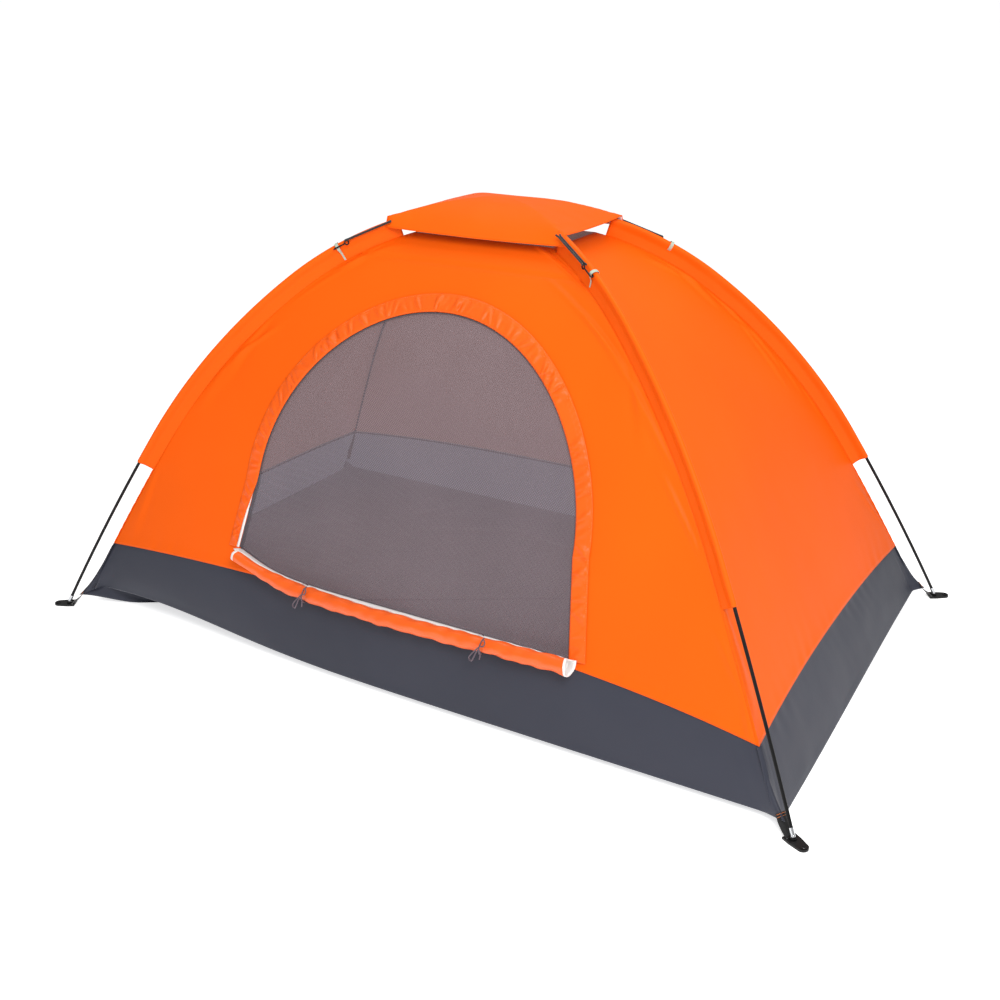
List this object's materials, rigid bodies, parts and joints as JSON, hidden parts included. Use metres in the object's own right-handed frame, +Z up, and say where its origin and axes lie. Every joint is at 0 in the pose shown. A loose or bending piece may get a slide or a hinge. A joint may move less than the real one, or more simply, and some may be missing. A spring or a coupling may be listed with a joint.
{
  "type": "dome tent",
  "caption": "Small dome tent on two crossed poles, with a D-shaped mesh door, a rolled door panel, a tub floor and a rain cover hooked over the roof vent.",
  "frame": {"origin": "on the ground at the middle of the floor", "axes": "+X along the long side, to the right of someone facing the door; +Y to the back, away from the door; +Z up"},
  "size_m": [2.1254, 1.2998, 1.11],
  "materials": {
    "pole_rod": "glossy black fibreglass",
    "ferrule": "zinc-plated steel",
    "shock_cord": "braided elastic cord",
    "pole_tip": "bright plated steel",
    "foot": "moulded black nylon",
    "webbing": "black polyester webbing",
    "tent_fabric": "satin silver-coated polyester, orange",
    "floor_fabric": "coated woven fabric, slate grey",
    "mesh": "fine polyester mesh, mauve-grey",
    "zip": "nylon coil zip",
    "slider": "black painted zinc",
    "tie": "mauve elastic cord",
    "loop": "pale grey-green webbing",
    "bungee": "black braided elastic cord",
    "hook": "moulded black plastic"
  },
  "bodies": {
    "root": {"pole_a_rod_1": "pole_rod", "pole_a_rod_2": "pole_rod", "pole_a_rod_3": "pole_rod", "pole_a_rod_4": "pole_rod", "pole_a_rod_5": "pole_rod", "pole_a_rod_6": "pole_rod", "pole_b_rod_1": "pole_rod", "pole_b_rod_2": "pole_rod", "pole_b_rod_3": "pole_rod", "pole_b_rod_4": "pole_rod", "pole_b_rod_5": "pole_rod", "pole_b_rod_6": "pole_rod", "pole_ferrules": "ferrule", "pole_a_shock_cord": "shock_cord", "pole_b_shock_cord": "shock_cord", "pole_tip_fl": "pole_tip", "pole_tip_fr": "pole_tip", "pole_tip_br": "pole_tip", "pole_tip_bl": "pole_tip", "corner_strap_fl": "webbing", "corner_strap_fr": "webbing", "corner_strap_br": "webbing", "corner_strap_bl": "webbing", "pole_sleeve_fl": "tent_fabric", "pole_sleeve_fr": "tent_fabric", "pole_sleeve_br": "tent_fabric", "pole_sleeve_bl": "tent_fabric", "front_wall": "tent_fabric", "right_wall": "tent_fabric", "back_wall": "tent_fabric", "left_wall": "tent_fabric", "floor_tub": "floor_fabric", "vent_mesh": "mesh", "rain_cover": "tent_fabric", "mesh_zip_wall_half": "zip", "door_zip_tape": "zip", "storm_flap": "tent_fabric", "door_panel_roll": "tent_fabric", "roll_tie_left": "tie", "roll_tie_right": "tie", "cover_loop_fl": "loop", "cover_loop_fr": "loop", "cover_loop_br": "loop", "cover_loop_bl": "loop", "cover_bungee_fl": "bungee", "cover_bungee_fr": "bungee", "cover_bungee_br": "bungee", "cover_bungee_bl": "bungee"},
    "mesh_door_leaf": {"mesh_door": "mesh", "mesh_zip_door_half": "zip"},
    "mesh_slider": {"mesh_zip_slider": "slider"},
    "door_slider": {"door_zip_slider": "slider"},
    "foot_fl_body": {"foot_fl": "foot"},
    "foot_fr_body": {"foot_fr": "foot"},
    "foot_br_body": {"foot_br": "foot"},
    "foot_bl_body": {"foot_bl": "foot"},
    "hook_fl_body": {"cover_hook_fl": "hook"},
    "hook_fr_body": {"cover_hook_fr": "hook"},
    "hook_br_body": {"cover_hook_br": "hook"},
    "hook_bl_body": {"cover_hook_bl": "hook"}
  },
  "joints": [
    {"name": "mesh_door_fold", "type": "hinge", "parent": "root", "child": "mesh_door_leaf", "pos_m": [0, -0.53819, 0.2152], "axis": [-1, 0, 0], "range_deg": [0, 78]},
    {"name": "mesh_slider_run", "type": "slide", "parent": "root", "child": "mesh_slider", "axis": [-0.1411, 0.2991, 0.9437], "range_m": [0, 0.18]},
    {"name": "door_slider_run", "type": "slide", "parent": "root", "child": "door_slider", "axis": [0.1411, 0.2991, 0.9437], "range_m": [0, 0.18]},
    {"name": "foot_fl_swivel", "type": "hinge", "parent": "root", "child": "foot_fl_body", "pos_m": [-1.02516, -0.62206, 0.005], "axis": [0, 0, 1], "range_deg": [-10, 10]},
    {"name": "foot_fr_swivel", "type": "hinge", "parent": "root", "child": "foot_fr_body", "pos_m": [1.02524, -0.62211, 0.005], "axis": [0, 0, 1], "range_deg": [-10, 10]},
    {"name": "foot_br_swivel", "type": "hinge", "parent": "root", "child": "foot_br_body", "pos_m": [1.02516, 0.62206, 0.005], "axis": [0, 0, 1], "range_deg": [-10, 10]},
    {"name": "foot_bl_swivel", "type": "hinge", "parent": "root", "child": "foot_bl_body", "pos_m": [-1.02524, 0.62211, 0.005], "axis": [0, 0, 1], "range_deg": [-10, 10]},
    {"name": "hook_fl_swing", "type": "hinge", "parent": "root", "child": "hook_fl_body", "pos_m": [-0.32431, -0.21574, 0.9959], "axis": [0.5188, -0.8549, 0], "range_deg": [-5, 5]},
    {"name": "hook_fr_swing", "type": "hinge", "parent": "root", "child": "hook_fr_body", "pos_m": [0.32428, -0.21572, 1.00572], "axis": [-0.5188, -0.8549, 0], "range_deg": [-5, 5]},
    {"name": "hook_br_swing", "type": "hinge", "parent": "root", "child": "hook_br_body", "pos_m": [0.32431, 0.21574, 0.9959], "axis": [-0.5188, 0.8549, 0], "range_deg": [-5, 5]},
    {"name": "hook_bl_swing", "type": "hinge", "parent": "root", "child": "hook_bl_body", "pos_m": [-0.32428, 0.21572, 1.00572], "axis": [0.5188, 0.8549, 0], "range_deg": [-5, 5]}
  ]
}
